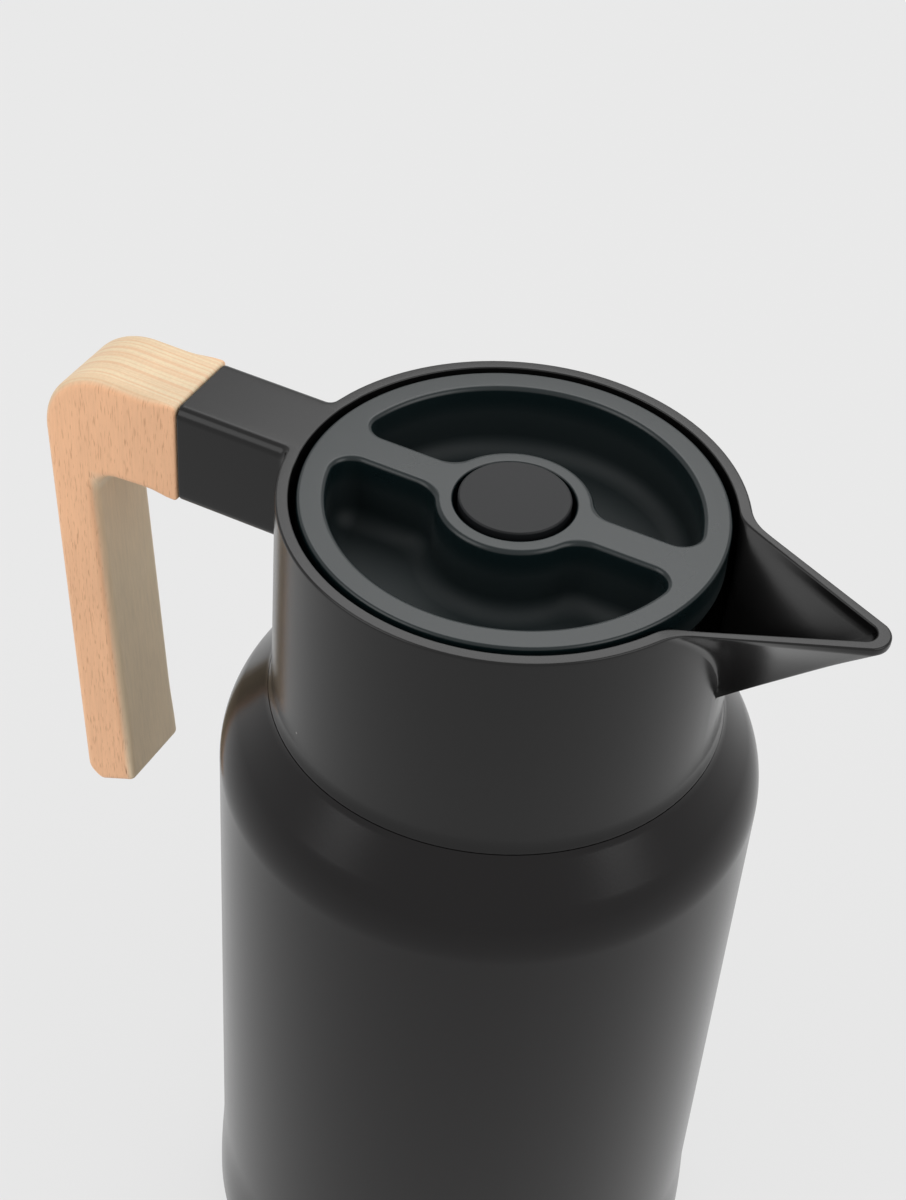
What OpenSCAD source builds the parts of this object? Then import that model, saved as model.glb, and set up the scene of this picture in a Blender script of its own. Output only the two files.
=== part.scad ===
// Thermal jug: a double-walled steel flask with a moulded collar that carries the
// spout and a wooden grip, and a screw-in stopper with a press button that pours.
// Millimetres. The origin is the centre of the resting face, +Z up, spout towards +X.

/* [Body] */
// Height of the collar's rim above the table
rim_z = 236; // [200:1:300]
// Outer radius of the steel body
body_r = 62; // [58:0.5:70]
// Wall of the steel casing
shell_t = 0.8; // [0.5:0.1:1.2]
// How far the foot flares out past the body
foot_flare = 0.9; // [0:0.1:2]
// Height of the flare at the foot
flare_h = 25; // [15:1:40]
// Radius of the casing's bottom edge
edge_r = 2.6; // [1.8:0.1:3]
// Radius of the shoulder's round
shoulder_r = 22; // [14:1:26]
// Radius of the hollow curve under the collar
waist_r = 9; // [5:0.5:12]
// Steepness of the shoulder, measured from the vertical
shoulder_a = 36; // [30:1:42]
// Thickness of the pad under the base
pad_t = 1.8; // [1.5:0.1:3]
// Thickness of the base plate
base_t = 0.8; // [0.6:0.1:1.2]

/* [Flask] */
// Wall of the inner flask
flask_t = 0.8; // [0.5:0.1:1.2]
// Width of the vacuum space at the side
vacuum_w = 3.7; // [2.5:0.1:5]
// Height of the vacuum space above the base plate
vacuum_h = 6; // [5:0.5:12]
// Radius of the flask's bottom corner
flask_corner_r = 14; // [8:1:20]
// Radius of the flask's shoulder
flask_shoulder_r = 18; // [12:1:20]
// Radius of the bore in the flask's mouth
mouth_r = 36; // [34:0.5:37]
// Depth of the flask's lip below the collar's rim
mouth_drop = 27; // [25:0.5:30]
// Width of the rolled lip
lip_w = 5.6; // [4.4:0.2:6]
// Length of the straight neck inside the flask
flask_neck_h = 19; // [17:0.5:22]
// Radius of the getter disc
getter_r = 8; // [5:0.5:12]

/* [Collar] */
// Outer radius of the collar's rim
rim_r = 50; // [49:0.25:51]
// Outer radius of the collar where it meets the casing
seam_r = 50.35; // [50:0.05:52]
// Height of the collar, from the seam to the rim
collar_h = 49.4; // [46:0.2:54]
// How far round the waist the collar's cuff reaches, in degrees
cuff_a = 25; // [15:1:28]
// Thickness of the cuff
cuff_t = 2.4; // [2:0.1:3]
// Radius of the bore that the lid sits in
bore_r = 47.2; // [46.8:0.1:47.6]
// Radius of the casing's neck inside the collar
neck_r = 44.2; // [43.8:0.1:44.6]
// How far the snap bead stands out of the neck
bead_h = 0.7; // [0.4:0.1:1]
// Thickness of the pouring deck at its inner edge
deck_t = 3.8; // [3:0.1:4.5]
// How far the deck rises towards the bore's wall
deck_rise = 2.4; // [0.5:0.1:4]
// Thickness of the gasket between the collar and the neck
gasket_t = 2.2; // [1.5:0.1:3]

/* [Spout] */
// Distance from the jug's axis to the spout's tip
spout_x = 83; // [76:0.2:92]
// Half width of the spout where it leaves the collar
spout_w = 21.4; // [18:0.2:23]
// Radius of the tip seen from above
spout_tip_r = 5; // [4:0.25:8]
// Depth of the spout where its keel meets the collar
spout_d = 32; // [29:0.5:34]
// Depth of the upright lip at the tip
spout_nose = 1.8; // [1.6:0.2:5]
// How sharply the sides draw in towards the keel
spout_draw = 1.4; // [1:0.05:1.8]
// How far the spout's edge lies below the rim
spout_dip = 0.6; // [0:0.1:2]
// Wall of the spout
spout_t = 2; // [1.6:0.1:2.6]

/* [Handle] */
// Distance from the jug's axis to the joint between arm and grip
joint_x = 76.6; // [70:0.2:82]
// Width of the arm and the grip
handle_w = 21.5; // [18:0.5:26]
// Height of the arm
arm_h = 25.7; // [22:0.1:30]
// Radius of the arm's long edges
arm_edge_r = 2.6; // [1:0.2:4]
// Wall of the hollow arm
arm_t = 3.2; // [2.4:0.1:4]
// Thickness of the arm's end wall
arm_end_t = 4; // [3:0.2:6]
// Distance from the jug's axis to the grip's outer face
grip_x = 112.4; // [100:0.2:120]
// Radius of the grip's outer bend
bend_r = 18; // [12:0.5:22]
// Radius of the bend between the grip's legs
crook_r = 6.5; // [3:0.5:9]
// Thickness of the grip's upright leg at its top
leg_t = 13.2; // [11:0.2:16]
// Thickness of the upright leg at its foot
leg_foot_t = 14.4; // [11:0.2:18]
// Length of the grip below the rim
leg_l = 128.4; // [110:0.2:150]
// How far the leg's foot leans in towards the body
leg_lean = 5.4; // [3:0.2:9]
// How much higher the leg's foot is on its inner side
foot_rise = 3.4; // [0:0.2:6]
// Radius of the corners of the leg's foot
foot_r = 4.4; // [1:0.2:5]
// Gap between the arm and the grip
joint_gap = 0.3; // [0.1:0.1:1]
// Thickness of the cover under the arm
cover_t = 2; // [1.5:0.1:3]
// Radius of the grip screws
screw_r = 2; // [1.5:0.1:2.5]
// Length of the grip screws under their heads
screw_l = 16; // [12:0.5:20]
// Radius of the screw heads
screw_head_r = 3.8; // [3.2:0.1:4.5]
// Height between the two grip screws
screw_pitch = 11; // [10:0.2:13]
// Radius of the threaded inserts in the wood
insert_r = 3.4; // [3:0.1:4]
// Length of the threaded inserts
insert_l = 12; // [8:0.5:14]

/* [Stopper] */
// Outer radius of the lid
lid_r = 45.6; // [45.2:0.1:46]
// Height of the lid's skirt
lid_h = 9; // [7:0.5:11]
// Thickness of the lid's top
lid_t = 2.5; // [1.8:0.1:3.5]
// Outer radius of the finger recesses
recess_r = 39.5; // [37:0.25:40]
// Depth of the finger recesses
recess_d = 17; // [12:0.5:17.5]
// Wall of the finger recesses
recess_t = 1.8; // [1.4:0.1:2.2]
// Width of the bar between the recesses
bar_w = 9.4; // [8:0.2:12]
// Radius of the hub in the middle of the bar
hub_r = 16.8; // [16.4:0.1:19]
// Radius of the recesses' outer corners
corner_r = 4.5; // [3:0.25:7]
// Radius of the curve between bar and hub
blend_r = 7; // [4:0.25:9]
// Radius of the stopper's plug
plug_r = 34; // [33.6:0.1:34.2]
// Wall of the plug
plug_t = 2; // [1.6:0.1:2.6]
// Depth of the plug's floor below the flask's lip
plug_l = 20.7; // [20:0.1:22]
// Radius of the flange over the flask's lip
flange_r = 39.4; // [38.4:0.2:40]
// Thickness of the flange
flange_t = 2; // [1.5:0.1:2.5]
// Thickness of the stopper's sealing ring
seal_t = 1.7; // [1.2:0.1:2]
// Number of posts between the flange and the lid
posts = 6; // [4:1:8]
// Rise of the screw thread in one turn
thread_lead = 32; // [24:1:40]
// Number of starts of the thread
thread_starts = 4; // [3:1:5]
// Length of the thread
thread_l = 10; // [8:0.5:11]
// Height of the thread's ridges
thread_h = 1.3; // [1:0.1:1.4]
// Thickness of the thread's ridges
ridge_t = 2.6; // [2:0.1:2.6]

/* [Button and valve] */
// Radius of the button
button_r = 12; // [10:0.25:13]
// Gap around the button
button_gap = 1; // [0.6:0.1:1.5]
// How far the button stands above the lid
button_rise = 1; // [0.5:0.1:2]
// Travel of the button
button_travel = 4; // [3:0.25:5]
// Height of the button's skirt
button_h = 11; // [9:0.5:13]
// Wall of the button
button_t = 1.6; // [1.2:0.1:2]
// Radius of the valve's stem
stem_r = 4; // [3:0.25:4.5]
// Thickness of the latch ring
latch_t = 4; // [3:0.25:5]
// Number of lugs on the latch ring
latch_lugs = 4; // [3:1:6]
// Length of the valve spring
spring_l = 15; // [12:0.5:18]
// Radius of the spring, to the middle of its wire
spring_r = 6.6; // [6:0.1:7.4]
// Radius of the spring's wire
wire_r = 0.5; // [0.3:0.05:0.7]
// Number of turns of the spring
spring_turns = 6; // [4:1:8]
// Wall of the spring's housing
housing_t = 1.6; // [1.2:0.1:2]
// Radius of the port in the plug's floor
port_r = 12.5; // [10:0.5:15]
// Width of the valve's sealing ring
valve_seal_w = 3.4; // [2.5:0.1:4.5]
// Thickness of the valve's sealing ring
valve_seal_t = 1.5; // [1:0.1:2]
// Thickness of the valve disc
valve_t = 3; // [2:0.25:4]

/* [Fits] */
// Gap between pieces that are fixed together
seat = 0.05; // [0.02:0.01:0.1]
// Gap between pieces that slide or seal
run_gap = 0.3; // [0.25:0.05:0.5]
// Radial clearance of the stem in its guide
guide_gap = 0.08; // [0.05:0.01:0.1]

/* [Hidden] */
$fn = 96;
fine = 6;       // steps of an arc in an outline
over = 1;       // how far a cut runs past a face

// Heights of the body
shell_z = pad_t - shell_t;                  // the casing's bottom edge, with its hem at pad_t
seam_z = rim_z - collar_h;
cuff_z = seam_z - waist_r * sin(cuff_a);    // lower edge of the collar's cuff
cuff_in = seam_r + waist_r * (1 - cos(cuff_a)) - cuff_t;
riser_r = cuff_in - run_gap;                // step on the casing, inside the cuff
shoulder_dr = body_r - seam_r;
slope_l = (shoulder_dr - (shoulder_r + waist_r) * (1 - cos(shoulder_a))) / sin(shoulder_a);
shoulder_z = seam_z - (shoulder_r + waist_r) * sin(shoulder_a) - slope_l * cos(shoulder_a);
base_r = body_r + foot_flare;
flare_z = shell_z + edge_r + 2;             // where the flare starts to draw in

// Heights of the flask and its mouth
flask_z = pad_t + base_t + vacuum_h;
flask_r = body_r - shell_t - vacuum_w;
mouth_z = rim_z - mouth_drop;
lip_r = mouth_r + lip_w;
tube_r = lip_r + seat + shell_t;             // top of the casing's neck, round the lip
step_z = mouth_z - lip_w / 2 - 3.2;         // step on the casing's neck, under the gasket
weld_z = mouth_z - lip_w / 2;               // top of the casing's neck
flask_a = 50;                               // steepness of the flask's shoulder
flask_waist_r = 9;
flask_neck_r = mouth_r + flask_t;
flask_neck_z = mouth_z - flask_neck_h;
flask_slope = (flask_r - flask_neck_r
               - (flask_shoulder_r + flask_waist_r) * (1 - cos(flask_a))) / sin(flask_a);
flask_shoulder_z = flask_neck_z - (flask_shoulder_r + flask_waist_r) * sin(flask_a)
                   - flask_slope * cos(flask_a);
dimple_r = 14;                              // raised middle of the base plate
dimple_h = 2.2;
dimple_hole_r = 1.2;
bead_z = seam_z + 8;
bead_w = 3;

// Heights of the collar
deck_z = step_z + gasket_t;                 // underside of the pouring deck
deck_r = tube_r + run_gap - seat;           // hole in the deck
skirt_r = neck_r + run_gap;

// Handle
arm_z = rim_z - arm_h;
hollow_x = rim_r + 4;                       // start of the hollow in the arm
end_x = joint_x - arm_end_t;                // inner face of the arm's end wall
cover_w = handle_w - 2 * arm_t + 2.4;
screw_z = [rim_z - arm_h / 2 - screw_pitch / 2, rim_z - arm_h / 2 + screw_pitch / 2];
head_t = 2.4;
grip_start = joint_x + joint_gap;

// Stopper
lid_z = rim_z - lid_h;                      // lower edge of the lid's skirt
cup_z = rim_z - recess_d - recess_t;        // underside of the finger recesses
seal_z = mouth_z + run_gap;
flange_z = seal_z + seal_t;
plug_z = mouth_z - plug_l - 2;              // underside of the plug's floor
floor_t = 2;
thread_z = mouth_z - 3 - thread_l;
well_r = button_r + button_gap;

// Valve train, from the button down
button_top = rim_z + button_rise;
pusher_r = 8.5;
pusher_z = button_top - button_h - button_travel - 1;
latch_z = pusher_z - latch_t - seat;
latch_r = well_r - 2.6;
spring_z = latch_z - spring_l - seat;
housing_floor_t = 2.6;
housing_z = spring_z - housing_floor_t;
housing_r = well_r - run_gap;
valve_r = port_r + valve_seal_w + 0.6;
valve_top = plug_z - run_gap - valve_seal_t;
valve_z = valve_top - valve_t;
stem_top = button_top - 2.6;
stem_z = valve_z - 1.4;

// Points on an arc about c, from angle a0 to a1
function arc(c, r, a0, a1, n = fine) =
    [for (i = [0:n]) let (a = a0 + (a1 - a0) * i / n) c + r * [cos(a), sin(a)]];

// A sector of a ring, as an outline
function sector(r0, r1, a0, a1, n = 3) =
    concat(arc([0, 0], r0, a0, a1, n), arc([0, 0], r1, a1, a0, n));

// A plain ring at a height
module ring(r0, r1, z, h) {
    translate([0, 0, z]) difference() {
        cylinder(r = r1, h = h);
        translate([0, 0, -over]) cylinder(r = r0, h = h + 2 * over);
    }
}

// Helical ridges on a wall: each start is a ring sector that twists as it rises
module thread(r0, r1, width_a, phase) {
    turn = 360 * thread_l / thread_lead;
    translate([0, 0, thread_z])
    linear_extrude(height = thread_l, twist = -turn, slices = round(turn / 8), segments = 8)
    for (i = [0:thread_starts - 1])
        polygon(sector(r0, r1, phase + i * 360 / thread_starts - width_a / 2,
                       phase + i * 360 / thread_starts + width_a / 2));
}

// Half outline of the casing, drawn in by t from its outer face
function casing(t) = concat(
    [[0, shell_z + t]],
    arc([base_r - edge_r, shell_z + edge_r], edge_r - t, -90, 0),
    [for (i = [0:8]) [body_r - t + foot_flare * (1 + cos(180 * i / 8)) / 2,
                      flare_z + flare_h * i / 8]],
    arc([body_r - shoulder_r, shoulder_z], shoulder_r - t, 0, shoulder_a, 8),
    arc([seam_r + waist_r, seam_z], waist_r + t, 180 + shoulder_a,
        180 + asin((seam_z - cuff_z + t) / (waist_r + t))),
    [[riser_r - t, cuff_z - t]],
    [[riser_r - t, seam_z - t]],
    [[neck_r - t, seam_z - t]],
    [[neck_r - t, step_z - t]],
    [[tube_r - t, step_z - t]],
    [[tube_r - t, weld_z + (t > 0 ? over : 0)]],
    [[0, weld_z + (t > 0 ? over : 0)]]);

// Coated steel casing, from the rolled foot to the neck inside the collar
module outer_shell() {
    color("dimgray") {
        rotate_extrude() difference() {
            polygon(casing(0));
            polygon(casing(shell_t));
            square([base_r - edge_r - 3, shell_z + 2 * shell_t]);
        }
        // snap bead that holds the collar
        rotate_extrude()
            translate([neck_r, bead_z])
            polygon([[-shell_t / 2, 0], [0, 0], [bead_h, bead_w / 3],
                     [bead_h, 2 * bead_w / 3], [0, bead_w], [-shell_t / 2, bead_w]]);
    }
}

// Half outline of the flask, drawn in by t from its outer face
function flask(t) = concat(
    [[0, flask_z + t]],
    arc([flask_r - flask_corner_r, flask_z + flask_corner_r], flask_corner_r - t, -90, 0),
    arc([flask_r - flask_shoulder_r, flask_shoulder_z], flask_shoulder_r - t, 0, flask_a, 8),
    arc([flask_neck_r + flask_waist_r, flask_neck_z], flask_waist_r + t, 180 + flask_a, 180));

// Stainless inner flask with a rolled lip and a rolled thread in its neck
module inner_flask() {
    roll = lip_w / 2;
    roll_c = [mouth_r + roll, mouth_z - roll];
    color("silver") {
        rotate_extrude() difference() {
            polygon(concat(flask(0), arc(roll_c, roll - flask_t, 180, 0, 10),
                           [[lip_r - flask_t, step_z]], [[lip_r, step_z]],
                           arc(roll_c, roll, 0, 180, 10), [[0, mouth_z - roll]]));
            polygon(concat(flask(flask_t), [[mouth_r, mouth_z + over]],
                           [[0, mouth_z + over]]));
        }
        thread(mouth_r - thread_h, mouth_r + flask_t / 2, 360 * ridge_t / thread_lead, 0);
    }
}

// Steel plate on the casing's hem, raised in the middle over the sealing bead
module base_plate() {
    plate_r = base_r - edge_r;
    color("lightgray")
    translate([0, 0, pad_t])
    rotate_extrude() difference() {
        polygon([[dimple_hole_r, dimple_h], [dimple_r, dimple_h], [dimple_r + 3, 0],
                 [plate_r, 0], [plate_r, base_t], [dimple_r + 3 + base_t / 2, base_t],
                 [dimple_r + base_t / 2, dimple_h + base_t],
                 [dimple_hole_r, dimple_h + base_t]]);
    }
}

// Getter disc in the vacuum space, on the flask's underside
module getter() {
    color("darkgray")
        translate([0, 0, flask_z - seat - 1.2]) cylinder(r = getter_r, h = 1.2);
}

// Braze bead that closes the hole through which the air was drawn
module vacuum_seal() {
    color("gray") {
        translate([0, 0, pad_t + dimple_h - 1]) cylinder(r = 3, h = 1 - seat);
        translate([0, 0, pad_t + dimple_h - 1]) cylinder(r = dimple_hole_r - seat, h = 2);
    }
}

// Soft pad that the jug stands on
module base_pad() {
    color([0.12, 0.12, 0.12])
    rotate_extrude()
        polygon([[0, 0], [base_r - edge_r - 4.4, 0], [base_r - edge_r - 3.6, 0.8],
                 [base_r - edge_r - 3.6, pad_t], [dimple_r - 1, pad_t],
                 [dimple_r - 1, 0.9], [0, 0.9]]);
}

// Outline of the spout at depth s (0 at its edge, 1 at the foot of the keel), drawn in by t
function spout_row(s, t) =
    let (d = s * spout_d,
         keel = (spout_x - rim_r) * min(1, (spout_d - d) / (spout_d - spout_nose)),
         tip = min(spout_x - t, rim_r + keel - 1.5 * t),
         narrow = pow(1 - s, spout_draw),
         w = max(0.3, spout_w * narrow - t),
         r = max(0.25, (spout_tip_r - t) * narrow),
         root = rim_r - 6,
         a = atan2(w, tip - root) + 4)
    concat([[root, -w]], [for (i = [0:6]) let (b = -90 + a + (180 - 2 * a) * i / 6)
            [tip - r + r * cos(b), r * sin(b)]], [[root, w]]);

// A solid between the spout's edge and its keel: rows of outline points, one above another
module spout_form(t, z_top, depth) {
    rows = 12;
    n = 9;
    grid = [for (k = [0:rows]) let (s = depth * (1 - k / rows))
            for (p = spout_row(s, t)) [p[0], p[1], z_top - s * spout_d]];
    top = [for (p = spout_row(0, t)) [p[0], p[1], z_top + (t > 0 ? 4 : 0)]];
    points = concat(grid, top);
    last = rows + 1;
    sides = [for (k = [0:last - 1]) for (i = [0:n - 1]) let (j = (i + 1) % n)
             each [[k * n + i, (k + 1) * n + i, k * n + j],
                   [k * n + j, (k + 1) * n + i, (k + 1) * n + j]]];
    polyhedron(points = points,
               faces = concat(sides, [[for (i = [0:n - 1]) i]],
                              [[for (i = [n - 1:-1:0]) last * n + i]]), convexity = 4);
}

// A rectangle with round corners about the origin
module rounded(w, h, r) {
    square([w - 2 * r, h], center = true);
    square([w, h - 2 * r], center = true);
    for (x = [-1, 1]) for (y = [-1, 1])
        translate([x * (w / 2 - r), y * (h / 2 - r)]) circle(r = r, $fn = 32);
}

// A cylinder along -X, as the grip's screws and their holes lie
module across(x, z, r, l) {
    translate([-x, 0, z]) rotate([0, -90, 0]) cylinder(r = r, h = l, $fn = 48);
}

// Outline of the cuff, whose outer face is the upper part of the waist
function cuff() = concat(
    [[cuff_in, cuff_z + seat]],
    arc([seam_r + waist_r, seam_z], waist_r, 180 + asin((seam_z - cuff_z - seat) / waist_r), 180),
    [[seam_r, seam_z + seat], [seam_r - over, seam_z + seat + over],
     [cuff_in, seam_z + seat + over]]);

// Moulded collar: neck, spout and hollow arm in one piece
module collar() {
    color([0.2, 0.2, 0.2])
    difference() {
        union() {
            translate([0, 0, seam_z + seat])
                cylinder(r1 = seam_r, r2 = rim_r, h = collar_h - seat);
            rotate_extrude() polygon(cuff());
            spout_form(0, rim_z - spout_dip, 1);
            translate([-rim_r + 4, 0, rim_z - arm_h / 2]) rotate([90, 0, -90])
                linear_extrude(height = joint_x - rim_r + 4)
                rounded(handle_w, arm_h, arm_edge_r);
        }
        // bore, deck and skirt
        rotate_extrude() {
            polygon([[0, deck_z - over], [deck_r, deck_z - over], [deck_r, deck_z + deck_t],
                     [bore_r, deck_z + deck_t + deck_rise], [bore_r, rim_z + over],
                     [0, rim_z + over]]);
            square([skirt_r, deck_z]);
            translate([skirt_r - over, bead_z - run_gap])
                polygon([[0, 0], [over, 0], [over + bead_h, bead_w / 3],
                         [over + bead_h, 2 * bead_w / 3 + 2 * run_gap],
                         [over, bead_w + 2 * run_gap], [0, bead_w + 2 * run_gap]]);
        }
        // pouring channel
        spout_form(spout_t, rim_z - spout_dip, (rim_z - spout_dip - deck_z - deck_t) / spout_d);
        // the arm's hollow and the seat of its cover
        translate([-end_x, -handle_w / 2 + arm_t, arm_z - over])
            cube([end_x - hollow_x, handle_w - 2 * arm_t, arm_h - arm_t + over]);
        translate([-end_x, -cover_w / 2, arm_z - over])
            cube([end_x - hollow_x, cover_w, cover_t + over]);
        for (z = screw_z) across(end_x - over, z, screw_r + run_gap, arm_end_t + 2 * over);
    }
}

// Gasket between the collar's deck and the step on the casing's neck
module collar_gasket() {
    color("white")
        ring(tube_r + seat, neck_r - run_gap, step_z, gasket_t);
}

// Snap-in cover under the arm
module arm_cover() {
    color([0.16, 0.16, 0.16])
        translate([-end_x + seat, -cover_w / 2 + seat, arm_z])
        cube([end_x - hollow_x - 2 * seat, cover_w - 2 * seat, cover_t]);
}

// Side outline of the grip, x away from the jug's axis and z below the rim
function grip_outline() =
    let (inner_x = grip_x - leg_t,
         foot_out = grip_x - leg_lean,
         foot_in = foot_out - leg_foot_t,
         lean_a = atan2(leg_lean, leg_l - bend_r),
         sole_a = atan2(foot_rise, leg_foot_t))
    concat(
        [[grip_start, 0]],
        arc([grip_x - bend_r, -bend_r], bend_r, 90, -lean_a, 8),
        arc([foot_out - foot_r, -leg_l + foot_r], foot_r, -lean_a, -90 + sole_a, 4),
        arc([foot_in + foot_r / 2, -leg_l + foot_rise + foot_r / 2], foot_r / 2,
            -90 - sole_a, -180, 3),
        arc([inner_x - crook_r, -arm_h - crook_r - 1], crook_r, 0, 90, 6),
        [[grip_start, -arm_h]]);

// Wooden grip: a short leg along the arm and a long one down
module grip_slab() {
    rotate([90, 0, 0])
    linear_extrude(height = handle_w, center = true)
    polygon([for (p = grip_outline()) [-p[0], rim_z + p[1]]]);
}

module handle_grip() {
    color([0.87, 0.7, 0.53])
    difference() {
        grip_slab();
        for (z = screw_z) {
            across(grip_start - over, z, insert_r + seat, insert_l + over + 0.4);
            across(grip_start - over, z, screw_r + run_gap, screw_l - arm_end_t + over + 1);
        }
    }
}

// Threaded brass inserts in the end of the wood
module grip_inserts() {
    color("gold")
    for (z = screw_z) difference() {
        across(grip_start + 0.2, z, insert_r, insert_l);
        across(grip_start - over, z, screw_r + seat, insert_l + 2 * over);
    }
}

// Screws that draw the grip against the arm's end wall
module grip_screws() {
    color("silver")
    for (z = screw_z) difference() {
        union() {
            across(end_x - head_t, z, screw_head_r, head_t);
            across(end_x - over, z, screw_r, screw_l + over);
        }
        translate([-(end_x - head_t) - 1.3, 0, z]) rotate([0, 90, 0])
            cylinder(r = 1.6, h = 1.3 + over, $fn = 6);
    }
}

// Silicone ring under the stopper's flange
module stopper_seal() {
    color("white") ring(plug_r + run_gap, flange_r - 0.6, seal_z, seal_t);
}

// Outline of one finger recess, grown by g
function recess_outline(g) =
    let (r = recess_r + g,
         b = bar_w / 2 - g,
         h = hub_r - g,
         c = corner_r + g,
         f = blend_r - g,
         corner_x = sqrt(pow(r - c, 2) - pow(b + c, 2)),
         blend_x = sqrt(pow(h + f, 2) - pow(b + f, 2)),
         corner_a = atan2(b + c, corner_x),
         blend_a = atan2(b + f, blend_x))
    concat(arc([0, 0], r, corner_a, 180 - corner_a, 24),
           arc([-corner_x, b + c], c, 180 - corner_a, 270, 5),
           arc([-blend_x, b + f], f, 270, 360 - blend_a, 5),
           arc([0, 0], h, 180 - blend_a, blend_a, 10),
           arc([blend_x, b + f], f, 180 + blend_a, 270, 5),
           arc([corner_x, b + c], c, 270, 360 + corner_a, 5));

// Both finger recesses as solids
module recesses(g, z, h) {
    for (side = [0, 180]) rotate([0, 0, side])
        translate([0, 0, z]) linear_extrude(height = h) polygon(recess_outline(g));
}

// Lid with two finger recesses either side of a bar, and a well for the button
module lid_cap() {
    color([0.25, 0.26, 0.26])
    difference() {
        union() {
            ring(well_r, lid_r, rim_z - lid_t, lid_t);
            ring(lid_r - 2, lid_r, lid_z, lid_h);
            recesses(recess_t, cup_z, rim_z - cup_z);
            ring(well_r, hub_r - recess_t / 2, cup_z, rim_z - cup_z);
        }
        recesses(0, rim_z - recess_d, recess_d + over);
        translate([0, 0, cup_z - over]) cylinder(r = well_r, h = rim_z - cup_z + 2 * over);
    }
}

// Lower moulding of the stopper: flange, threaded plug and a floor with the pouring port
module stopper_body() {
    color([0.3, 0.3, 0.3]) {
        difference() {
            union() {
                translate([0, 0, plug_z]) cylinder(r = plug_r, h = flange_z - plug_z + flange_t);
                translate([0, 0, flange_z]) cylinder(r = flange_r, h = flange_t);
            }
            translate([0, 0, plug_z + floor_t])
                cylinder(r = plug_r - plug_t, h = flange_z - plug_z + flange_t);
            translate([0, 0, plug_z - over]) cylinder(r = port_r, h = floor_t + 2 * over);
        }
        thread(plug_r - plug_t / 2, plug_r + thread_h, 360 * ridge_t / thread_lead,
               180 / thread_starts);
        // posts that carry the lid, with the pouring windows between them
        for (i = [0:posts - 1]) rotate([0, 0, (i + 0.5) * 360 / posts])
            translate([plug_r - plug_t, -2, flange_z])
            cube([flange_r - plug_r, 4, cup_z - flange_z]);
    }
}

// Housing of the spring, on the underside of the lid's hub
module spring_housing() {
    color([0.35, 0.35, 0.35])
    difference() {
        union() {
            translate([0, 0, housing_z]) cylinder(r = housing_r, h = cup_z - housing_z + 2);
            translate([0, 0, cup_z - 4.2]) cylinder(r = hub_r - 1, h = 2.4);
        }
        translate([0, 0, spring_z])
            cylinder(r = housing_r - housing_t, h = cup_z - spring_z + 2 + over);
        translate([0, 0, housing_z - over])
            cylinder(r = stem_r + guide_gap, h = housing_floor_t + 2 * over);
        translate([0, 0, housing_z - over])
            cylinder(r = stem_r + 2, h = 1.2 + over);
    }
}

// Sealing ring between the lid's hub and the spring's housing
module housing_ring() {
    color("white")
        ring(housing_r + seat, hub_r - 1, cup_z - 1.8, 1.8);
}

// Compression spring that closes the valve: a wire swept along a helix
module return_spring() {
    steps = 14 * spring_turns;
    sides = 6;
    rise = spring_l - 2 * wire_r;
    rows = [for (k = [0:steps]) let (a = 360 * spring_turns * k / steps)
            for (i = [0:sides - 1]) let (b = 360 * i / sides, q = spring_r + wire_r * cos(b))
            [q * cos(a), q * sin(a), spring_z + wire_r + rise * k / steps + wire_r * sin(b)]];
    skin = [for (k = [0:steps - 1]) for (i = [0:sides - 1]) let (j = (i + 1) % sides)
            each [[k * sides + i, (k + 1) * sides + i, k * sides + j],
                  [k * sides + j, (k + 1) * sides + i, (k + 1) * sides + j]]];
    color("silver")
    polyhedron(points = rows,
               faces = concat(skin, [[for (i = [0:sides - 1]) i]],
                              [[for (i = [sides - 1:-1:0]) steps * sides + i]]),
               convexity = 10);
}

// Button with a skirt in the lid's well and a pusher down to the latch ring
module button_cap() {
    skirt_z = button_top - button_h;
    top_t = 2.2;
    color([0.2, 0.2, 0.21])
    difference() {
        union() {
            translate([0, 0, skirt_z]) cylinder(r = button_r, h = button_h);
            translate([0, 0, pusher_z]) cylinder(r = pusher_r, h = button_h);
        }
        translate([0, 0, skirt_z - over]) difference() {
            cylinder(r = button_r - button_t, h = button_h - top_t + over);
            translate([0, 0, -over]) cylinder(r = pusher_r, h = button_h + 2 * over);
        }
        translate([0, 0, pusher_z - over])
            cylinder(r = stem_r + seat, h = stem_top - pusher_z + over + seat);
    }
}

// Steel stem from the button to the valve, with a foot under the valve disc
module valve_stem() {
    color("silver") {
        translate([0, 0, stem_z]) cylinder(r = stem_r, h = stem_top - stem_z);
        translate([0, 0, stem_z]) cylinder(r = stem_r + 3, h = valve_z - stem_z - seat);
    }
}

// Wiper ring that keeps drink out of the spring's housing
module stem_wiper() {
    color("white")
        ring(stem_r + guide_gap, stem_r + 2 - seat, housing_z, 1.2 - seat);
}

// Disc that closes the port from below
module valve_disc() {
    color([0.35, 0.35, 0.35])
    difference() {
        translate([0, 0, valve_z]) cylinder(r = valve_r, h = valve_t);
        translate([0, 0, valve_z - over]) cylinder(r = stem_r + seat, h = valve_t + 2 * over);
        // well for the sealing ring
        translate([0, 0, valve_top - 0.6])
            difference() {
                cylinder(r = valve_r - 0.5, h = over + 0.6);
                translate([0, 0, -over]) cylinder(r = port_r - 0.4, h = 3 * over);
            }
    }
}

// Silicone ring on the valve disc
module valve_seal() {
    color("white")
        ring(port_r - 0.4 + seat, valve_r - 0.5 - seat, valve_top - 0.6, valve_seal_t + 0.6);
}

// Ring that turns a step at each press and holds the button down or lets it rise
module latch_ring() {
    color("ivory") {
        ring(stem_r + run_gap, pusher_r, latch_z, latch_t);
        for (i = [0:latch_lugs - 1]) rotate([0, 0, i * 360 / latch_lugs])
            translate([pusher_r - 1, -1.5, latch_z]) cube([latch_r - pusher_r + 0.9, 3, latch_t]);
    }
}

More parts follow.
